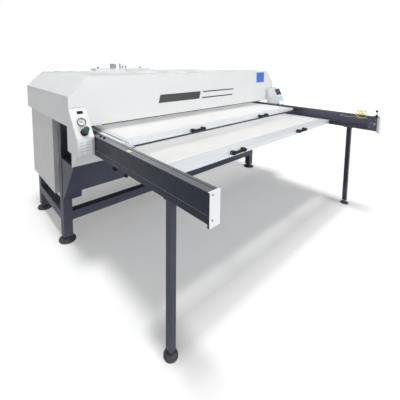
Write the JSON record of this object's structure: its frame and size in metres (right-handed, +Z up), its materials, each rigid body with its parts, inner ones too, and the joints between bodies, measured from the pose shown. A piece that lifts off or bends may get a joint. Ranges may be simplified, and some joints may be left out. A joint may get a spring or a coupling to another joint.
{
  "type": "heat press",
  "caption": "Large flatbed heat press with a heated platen under a white hood, sliding padded trays at two levels on long front rails, and control consoles at both ends.",
  "frame": {"origin": "on the floor, at the centre of the footprint", "axes": "+X to the right along the machine, +Y to the back, +Z up; y = 0 is the plane of the front cover"},
  "size_m": [2.984, 2.74, 1.617],
  "materials": {
    "aluminium": "brushed and anodised",
    "bare_steel": "ground",
    "black_plastic": "fine moulded grain",
    "black_steel": "black oxide",
    "clear_glass": "clear",
    "felt": "dense pressed felt",
    "frame_paint": "semi-gloss blue-grey powder coat",
    "green_plastic": "glossy",
    "grey_powder": "fine matt powder coat",
    "keys": "printed film",
    "mineral_wool": "compressed mineral wool",
    "red_plastic": "glossy",
    "screen": "glossy",
    "white_plastic": "smooth moulded",
    "white_powder": "fine matt powder coat",
    "yellow_hose": "smooth polyurethane"
  },
  "bodies": {
    "machine": {"air_tank": "frame_paint", "base_girders": "frame_paint", "brackets": "frame_paint", "coiled_hose": "yellow_hose", "control_box": "grey_powder", "control_screen": "screen", "cross_members": "frame_paint", "cylinders_and_columns": "bare_steel", "extraction_spigot": "aluminium", "front_cover": "white_powder", "gauge_case": "black_steel", "gauge_glass": "clear_glass", "hand_valve": "black_steel", "heated_platen": "aluminium", "heating_elements": "bare_steel", "hood_frame": "bare_steel", "key_panel": "keys", "left_console": "white_powder", "left_rail": "frame_paint", "left_side_cover": "white_powder", "left_side_frame": "frame_paint", "levelling_feet": "black_plastic", "lower_beams": "frame_paint", "plate_fittings": "black_plastic", "platen_insulation": "mineral_wool", "rail_end_caps": "white_plastic", "rear_covers": "white_powder", "regulator_body": "black_plastic", "right_console": "white_powder", "right_rail": "frame_paint", "right_side_cover": "white_powder", "right_side_frame": "frame_paint", "screws_and_bolts": "black_steel", "service_plate": "white_powder", "side_cabinets": "grey_powder", "support_legs": "frame_paint", "switch_bezel": "black_plastic", "top_cover": "white_powder", "tray_tracks": "aluminium", "upper_girders": "frame_paint"},
    "upper_tray": {"upper_tray_frame": "aluminium", "upper_tray_pad": "felt", "upper_tray_handles": "black_plastic"},
    "lower_tray": {"lower_tray_frame": "aluminium", "lower_tray_pad": "felt", "lower_tray_handles": "black_plastic"},
    "upper_front_roller_pair": {"upper_front_rollers": "white_plastic"},
    "upper_rear_roller_pair": {"upper_rear_rollers": "white_plastic"},
    "lower_front_roller_pair": {"lower_front_rollers": "white_plastic"},
    "lower_rear_roller_pair": {"lower_rear_rollers": "white_plastic"},
    "bed": {"press_bed": "bare_steel", "cylinder_rods": "bare_steel"},
    "needle": {"gauge_needle": "black_steel"},
    "air_knob": {"regulator_knob": "black_plastic"},
    "power_rocker": {"switch_rocker": "black_plastic"},
    "start_button": {"green_button": "green_plastic"},
    "stop_button": {"red_button": "red_plastic"},
    "front_clamp_knob": {"left_front_knob": "black_plastic"},
    "rear_clamp_knob": {"left_rear_knob": "black_plastic"},
    "hand_lever": {"valve_lever": "black_plastic"}
  },
  "joints": [
    {"name": "upper_tray_slide", "type": "slide", "parent": "machine", "child": "upper_tray", "axis": [0, 1, 0], "range_m": [-0.835, 0.465]},
    {"name": "lower_tray_slide", "type": "slide", "parent": "machine", "child": "lower_tray", "axis": [0, 1, 0], "range_m": [-0.4, 0.9]},
    {"name": "upper_front_roller_spin", "type": "hinge", "parent": "upper_tray", "child": "upper_front_roller_pair", "pos_m": [0, -0.391, 1.041], "axis": [1, 0, 0], "continuous": true},
    {"name": "upper_rear_roller_spin", "type": "hinge", "parent": "upper_tray", "child": "upper_rear_roller_pair", "pos_m": [0, 0.729, 1.041], "axis": [1, 0, 0], "continuous": true},
    {"name": "lower_front_roller_spin", "type": "hinge", "parent": "lower_tray", "child": "lower_front_roller_pair", "pos_m": [0, -0.826, 0.958], "axis": [1, 0, 0], "continuous": true},
    {"name": "lower_rear_roller_spin", "type": "hinge", "parent": "lower_tray", "child": "lower_rear_roller_pair", "pos_m": [0, 0.294, 0.958], "axis": [1, 0, 0], "continuous": true},
    {"name": "bed_lift", "type": "slide", "parent": "machine", "child": "bed", "axis": [0, 0, 1], "range_m": [0, 0.11]},
    {"name": "gauge_needle_turn", "type": "hinge", "parent": "machine", "child": "needle", "pos_m": [-1.41, -0.08574, 1.17647], "axis": [0, 0.7896, -0.6137], "range_deg": [-55, 200]},
    {"name": "regulator_knob_turn", "type": "hinge", "parent": "machine", "child": "air_knob", "pos_m": [-1.41, -0.15079, 1.11559], "axis": [0, -0.7896, 0.6137], "range_deg": [-540, 540]},
    {"name": "power_rocker_tip", "type": "hinge", "parent": "machine", "child": "power_rocker", "pos_m": [-1.4, -0.02384, 1.23981], "axis": [0, 0.6137, 0.7896], "range_deg": [-8, 8]},
    {"name": "start_button_press", "type": "slide", "parent": "machine", "child": "start_button", "axis": [0, 0, -1], "range_m": [0, 0.003]},
    {"name": "stop_button_press", "type": "slide", "parent": "machine", "child": "stop_button", "axis": [0, 0, -1], "range_m": [0, 0.003]},
    {"name": "front_clamp_knob_turn", "type": "hinge", "parent": "machine", "child": "front_clamp_knob", "pos_m": [-1.324, -0.611, 0.9], "axis": [0, 0, 1], "continuous": true},
    {"name": "rear_clamp_knob_turn", "type": "hinge", "parent": "machine", "child": "rear_clamp_knob", "pos_m": [-1.324, -0.459, 0.9], "axis": [0, 0, 1], "continuous": true},
    {"name": "hand_lever_tip", "type": "hinge", "parent": "machine", "child": "hand_lever", "pos_m": [1.314, -1.33, 1.084], "axis": [1, 0, 0], "range_deg": [-30, 30]}
  ],
  "couplings": [
    {"joint": "upper_front_roller_spin", "follows": "upper_tray_slide", "rad_per_m": -83.333},
    {"joint": "upper_rear_roller_spin", "follows": "upper_tray_slide", "rad_per_m": -83.333},
    {"joint": "lower_front_roller_spin", "follows": "lower_tray_slide", "rad_per_m": -83.333},
    {"joint": "lower_rear_roller_spin", "follows": "lower_tray_slide", "rad_per_m": -83.333}
  ]
}
